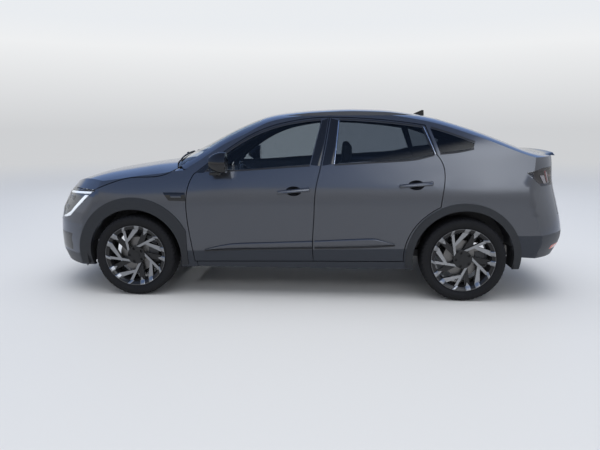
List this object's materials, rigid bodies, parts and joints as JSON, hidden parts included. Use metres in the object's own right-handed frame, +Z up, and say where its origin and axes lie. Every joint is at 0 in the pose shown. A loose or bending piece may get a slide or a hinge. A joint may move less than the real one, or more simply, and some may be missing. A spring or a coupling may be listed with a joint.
{
  "type": "coupe sport utility vehicle",
  "caption": "Raised fastback passenger car with opening doors, bonnet and tailgate, steered front wheels and a hollow cabin.",
  "frame": {"origin": "on the ground under the centre of the car's box", "axes": "+X forward along the car, +Y to the car's left, +Z up"},
  "size_m": [4.5652, 2.0388, 1.5706],
  "materials": {
    "paint": "metallic clear coat",
    "glass": "tinted",
    "clear_lens": "clear lens",
    "red_lens": "smoked red lens",
    "tyre": "matt",
    "alloy": "diamond cut over black",
    "disc_iron": "turned",
    "chassis_steel": "satin black",
    "gloss_black": "gloss",
    "cladding": "satin",
    "underbody": "seam sealed",
    "cast_block": "as cast",
    "steel_pipe": "dull",
    "cabin_plastic": "grained",
    "seat_cloth": "woven"
  },
  "bodies": {
    "body": {"arch_trims": "cladding", "body_side_left": "paint", "body_side_right": "paint", "dashboard": "cabin_plastic", "engine_block": "cast_block", "exhaust": "steel_pipe", "floor_pan": "underbody", "front_bumper": "paint", "front_grille": "gloss_black", "front_subframe": "chassis_steel", "glass_quarters": "glass", "headlamps": "clear_lens", "rear_axle": "chassis_steel", "rear_bench": "seat_cloth", "rear_bumper": "paint", "roof_fin": "gloss_black", "roof_panel": "paint", "seat_front_left": "seat_cloth", "seat_front_right": "seat_cloth", "tail_lamps": "red_lens", "windscreen": "glass", "wing_front_left": "paint", "wing_front_right": "paint"},
    "bonnet": {"bonnet": "paint"},
    "tailgate": {"tailgate": "paint", "tailgate_glass": "glass"},
    "door_front_left": {"door_front_left": "paint", "glass_front_left": "glass", "mirror_left": "gloss_black"},
    "door_front_right": {"door_front_right": "paint", "glass_front_right": "glass", "mirror_right": "gloss_black"},
    "door_rear_left": {"door_rear_left": "paint", "glass_rear_left": "glass"},
    "door_rear_right": {"door_rear_right": "paint", "glass_rear_right": "glass"},
    "knuckle_left": {"knuckle_left": "chassis_steel"},
    "knuckle_right": {"knuckle_right": "chassis_steel"},
    "spin_wheel_front_left": {"wheel_front_left": "alloy", "tyre_front_left": "tyre", "brake_disc_front_left": "disc_iron"},
    "spin_wheel_front_right": {"wheel_front_right": "alloy", "tyre_front_right": "tyre", "brake_disc_front_right": "disc_iron"},
    "spin_wheel_rear_left": {"wheel_rear_left": "alloy", "tyre_rear_left": "tyre", "brake_disc_rear_left": "disc_iron"},
    "spin_wheel_rear_right": {"wheel_rear_right": "alloy", "tyre_rear_right": "tyre", "brake_disc_rear_right": "disc_iron"},
    "steering_wheel": {"steering_wheel": "cabin_plastic"}
  },
  "joints": [
    {"name": "steer_left", "type": "hinge", "parent": "body", "child": "knuckle_left", "pos_m": [1.384, 0.72, 0.195], "axis": [0, -0.2409, 0.9705], "range_deg": [-33, 33]},
    {"name": "spin_front_left", "type": "hinge", "parent": "knuckle_left", "child": "spin_wheel_front_left", "pos_m": [1.384, 0.78, 0.3425], "axis": [0, 1, 0], "continuous": true},
    {"name": "spin_rear_left", "type": "hinge", "parent": "body", "child": "spin_wheel_rear_left", "pos_m": [-1.336, 0.785, 0.3425], "axis": [0, 1, 0], "continuous": true},
    {"name": "open_door_front_left", "type": "hinge", "parent": "body", "child": "door_front_left", "pos_m": [0.885, 0.893, 0.7], "axis": [0, 0, -1], "range_deg": [0, 70]},
    {"name": "open_door_rear_left", "type": "hinge", "parent": "body", "child": "door_rear_left", "pos_m": [-0.158, 0.895, 0.7], "axis": [0, 0, -1], "range_deg": [0, 70]},
    {"name": "steer_right", "type": "hinge", "parent": "body", "child": "knuckle_right", "pos_m": [1.384, -0.72, 0.195], "axis": [0, 0.2409, 0.9705], "range_deg": [-33, 33]},
    {"name": "spin_front_right", "type": "hinge", "parent": "knuckle_right", "child": "spin_wheel_front_right", "pos_m": [1.384, -0.78, 0.3425], "axis": [0, 1, 0], "continuous": true},
    {"name": "spin_rear_right", "type": "hinge", "parent": "body", "child": "spin_wheel_rear_right", "pos_m": [-1.336, -0.785, 0.3425], "axis": [0, 1, 0], "continuous": true},
    {"name": "open_door_front_right", "type": "hinge", "parent": "body", "child": "door_front_right", "pos_m": [0.885, -0.893, 0.7], "axis": [0, 0, 1], "range_deg": [0, 70]},
    {"name": "open_door_rear_right", "type": "hinge", "parent": "body", "child": "door_rear_right", "pos_m": [-0.158, -0.895, 0.7], "axis": [0, 0, 1], "range_deg": [0, 70]},
    {"name": "turn_steering_wheel", "type": "hinge", "parent": "body", "child": "steering_wheel", "pos_m": [0.47, 0.38, 0.905], "axis": [-0.9063, 0, 0.4226], "range_deg": [-485.1, 485.1]},
    {"name": "open_bonnet", "type": "hinge", "parent": "body", "child": "bonnet", "pos_m": [0.95, 0, 1.09], "axis": [0, -1, 0], "range_deg": [0, 50]},
    {"name": "open_tailgate", "type": "hinge", "parent": "body", "child": "tailgate", "pos_m": [-1.13, 0, 1.482], "axis": [0, 1, 0], "range_deg": [0, 75]}
  ],
  "couplings": [
    {"joint": "steer_right", "follows": "steer_left", "ratio": 1},
    {"joint": "turn_steering_wheel", "follows": "steer_left", "ratio": 14.7}
  ]
}
